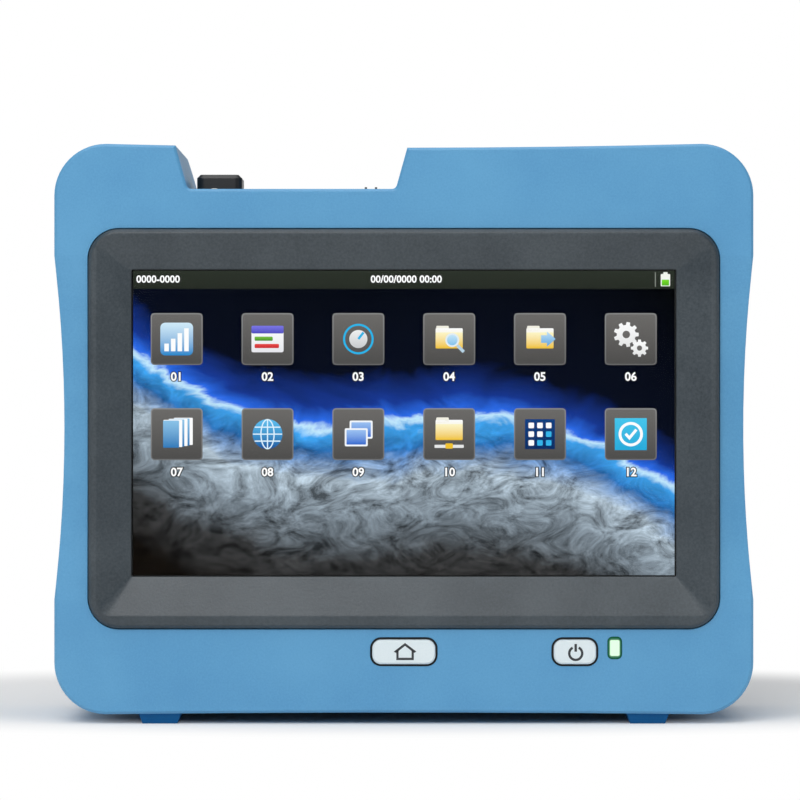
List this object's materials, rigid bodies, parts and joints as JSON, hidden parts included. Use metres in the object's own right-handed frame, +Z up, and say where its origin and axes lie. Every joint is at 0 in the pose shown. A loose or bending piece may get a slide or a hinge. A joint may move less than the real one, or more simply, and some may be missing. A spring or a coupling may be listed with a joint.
{
  "type": "optical time domain reflectometer",
  "caption": "Handheld fibre tester: a blue waisted case with a sloping screen bezel, front keys, capped optical ports in a top trough, rear stand and battery door.",
  "frame": {"origin": "on the table under the middle of the case, at the feet", "axes": "+X to the user's right seen from the front, +Y towards the back, +Z up; the screen faces -Y"},
  "size_m": [0.2, 0.068, 0.166],
  "materials": {
    "case_plastic": "fine moulded texture",
    "bezel_plastic": "fine spark-eroded texture",
    "screen_glass": "polished",
    "display_cell": "lit picture",
    "white_plastic": "moulded",
    "seal_rubber": "matt",
    "screw_steel": "zinc plated",
    "sheet_steel": "tin plated",
    "button_plastic": "satin moulded",
    "circuit_board": "solder mask",
    "black_plastic": "moulded",
    "light_pipe": "lit",
    "optics_aluminium": "milled",
    "fibre_yellow": "wound fibre",
    "adapter_green": "moulded",
    "adapter_nickel": "nickel plated",
    "ferrule_ceramic": "polished",
    "marker_cream": "moulded"
  },
  "bodies": {
    "case": {"backlight": "white_plastic", "battery_contacts": "black_plastic", "battery_pack": "black_plastic", "board_screws": "screw_steel", "board_standoffs": "screw_steel", "button_board": "circuit_board", "clock_battery": "sheet_steel", "data_socket": "sheet_steel", "display_gasket": "seal_rubber", "fault_locator_cap_pin": "screw_steel", "fault_locator_port": "adapter_nickel", "fibre_coil": "fibre_yellow", "fibre_spool": "white_plastic", "front_feet": "case_plastic", "front_housing": "case_plastic", "housing_gasket": "seal_rubber", "housing_screws": "screw_steel", "keypad": "seal_rubber", "lcd_frame": "sheet_steel", "lcd_panel": "display_cell", "lcd_screws": "screw_steel", "main_board": "circuit_board", "network_socket": "sheet_steel", "optics_lid": "optics_aluminium", "optics_module": "optics_aluminium", "otdr_cap_pin": "screw_steel", "otdr_ferrule": "ferrule_ceramic", "otdr_port": "adapter_green", "port_cover_pin": "screw_steel", "port_tray": "black_plastic", "power_inlet": "black_plastic", "power_meter_cap_pin": "screw_steel", "power_meter_port": "adapter_nickel", "processor_shield": "sheet_steel", "radio_module": "sheet_steel", "rear_feet": "case_plastic", "rear_housing": "case_plastic", "screen_bezel": "bezel_plastic", "socket_board": "circuit_board", "speaker": "black_plastic", "stand_pins": "screw_steel", "status_light": "light_pipe", "stylus_tube": "black_plastic", "tact_switches": "black_plastic", "touch_glass": "screen_glass", "usb_socket": "sheet_steel"},
    "home_button": {"home_button": "button_plastic"},
    "power_button": {"power_button": "button_plastic"},
    "otdr_cap": {"otdr_cap": "black_plastic", "otdr_cap_marker": "marker_cream"},
    "fault_locator_cap": {"fault_locator_cap": "black_plastic"},
    "power_meter_cap": {"power_meter_cap": "black_plastic"},
    "port_cover": {"port_cover": "seal_rubber"},
    "tilt_stand": {"tilt_stand": "case_plastic"},
    "battery_door": {"battery_door": "case_plastic", "battery_door_screws": "screw_steel", "battery_door_seal": "seal_rubber"},
    "stylus": {"stylus": "black_plastic"}
  },
  "joints": [
    {"name": "home_button_press", "type": "slide", "parent": "case", "child": "home_button", "axis": [0, 1, 0], "range_m": [0, 0.0008], "stiffness_N_per_m": 1500},
    {"name": "power_button_press", "type": "slide", "parent": "case", "child": "power_button", "axis": [0, 1, 0], "range_m": [0, 0.0008], "stiffness_N_per_m": 1500},
    {"name": "otdr_cap_hinge", "type": "hinge", "parent": "case", "child": "otdr_cap", "pos_m": [-0.054, 0.0102, 0.155], "axis": [-1, 0, 0], "range_deg": [0, 100]},
    {"name": "fault_locator_cap_hinge", "type": "hinge", "parent": "case", "child": "fault_locator_cap", "pos_m": [-0.032, 0.0102, 0.1502], "axis": [-1, 0, 0], "range_deg": [0, 100]},
    {"name": "power_meter_cap_hinge", "type": "hinge", "parent": "case", "child": "power_meter_cap", "pos_m": [-0.0097, 0.0102, 0.1502], "axis": [-1, 0, 0], "range_deg": [0, 100]},
    {"name": "port_cover_hinge", "type": "hinge", "parent": "case", "child": "port_cover", "pos_m": [0.048, 0.0196, 0.1636], "axis": [-1, 0, 0], "range_deg": [0, 90]},
    {"name": "tilt_stand_hinge", "type": "hinge", "parent": "case", "child": "tilt_stand", "pos_m": [0, 0.0313, 0.108], "axis": [1, 0, 0], "range_deg": [0, 35]},
    {"name": "battery_door_lift", "type": "slide", "parent": "case", "child": "battery_door", "axis": [0, 1, 0], "range_m": [0, 0.02]},
    {"name": "stylus_slide", "type": "slide", "parent": "case", "child": "stylus", "axis": [0, 0, 1], "range_m": [0, 0.11]}
  ]
}
